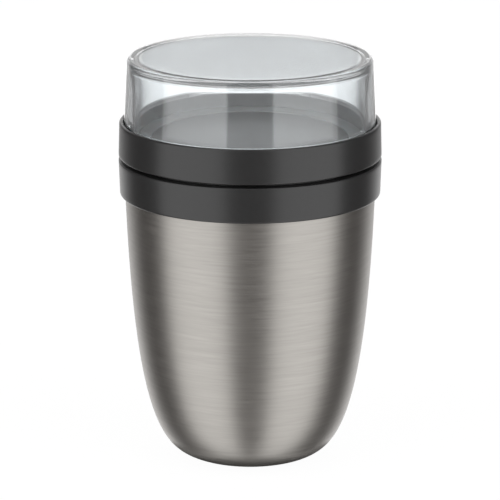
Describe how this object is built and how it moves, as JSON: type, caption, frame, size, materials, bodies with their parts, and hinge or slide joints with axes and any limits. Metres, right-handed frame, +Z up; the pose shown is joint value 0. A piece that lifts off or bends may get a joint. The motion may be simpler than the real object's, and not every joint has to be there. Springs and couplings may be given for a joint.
{
  "type": "insulated lunch pot",
  "caption": "Round double-walled steel food pot with a dark screw collar, a screw lid with an insulated plug, and a clear cup that screws upside down into the lid.",
  "frame": {"origin": "middle of the ring that the pot stands on, at table height", "axes": "+Z up along the axis that every piece is turned round; the picture looks along +Y"},
  "size_m": [0.1072, 0.1072, 0.1679],
  "materials": {
    "brushed_steel": "satin",
    "plain_steel": "satin",
    "sealing_metal": "satin",
    "getter_alloy": "matte",
    "dark_plastic": "satin",
    "foam": "matte",
    "silicone": "matte",
    "clear_plastic": "gloss"
  },
  "bodies": {
    "pot": {"outer_shell": "brushed_steel", "inner_liner": "plain_steel", "vacuum_base": "plain_steel", "sealing_bead": "sealing_metal", "base_cover": "brushed_steel", "getter_holder": "plain_steel", "getter_pellet": "getter_alloy", "pot_collar": "dark_plastic"},
    "lid_ring": {"pot_seal": "silicone"},
    "lid": {"lid_body": "dark_plastic", "lid_foam": "foam", "plug_cap": "dark_plastic"},
    "cup_ring": {"cup_seal": "silicone"},
    "cup": {"clear_cup": "clear_plastic"}
  },
  "joints": [
    {"name": "lid_rise", "type": "slide", "parent": "pot", "child": "lid_ring", "axis": [0, 0, 1], "range_m": [0, 0.015]},
    {"name": "lid_turn", "type": "hinge", "parent": "lid_ring", "child": "lid", "pos_m": [0, 0, 0.1306], "axis": [0, 0, 1], "range_deg": [0, 450]},
    {"name": "cup_turn", "type": "hinge", "parent": "lid", "child": "cup_ring", "pos_m": [0, 0, 0.134], "axis": [0, 0, 1], "range_deg": [0, 360]},
    {"name": "cup_rise", "type": "slide", "parent": "cup_ring", "child": "cup", "axis": [0, 0, 1], "range_m": [0, 0.012]}
  ],
  "couplings": [
    {"joint": "lid_rise", "follows": "lid_turn", "m_per_rad": 0.0019098},
    {"joint": "cup_rise", "follows": "cup_turn", "m_per_rad": 0.0019098}
  ]
}
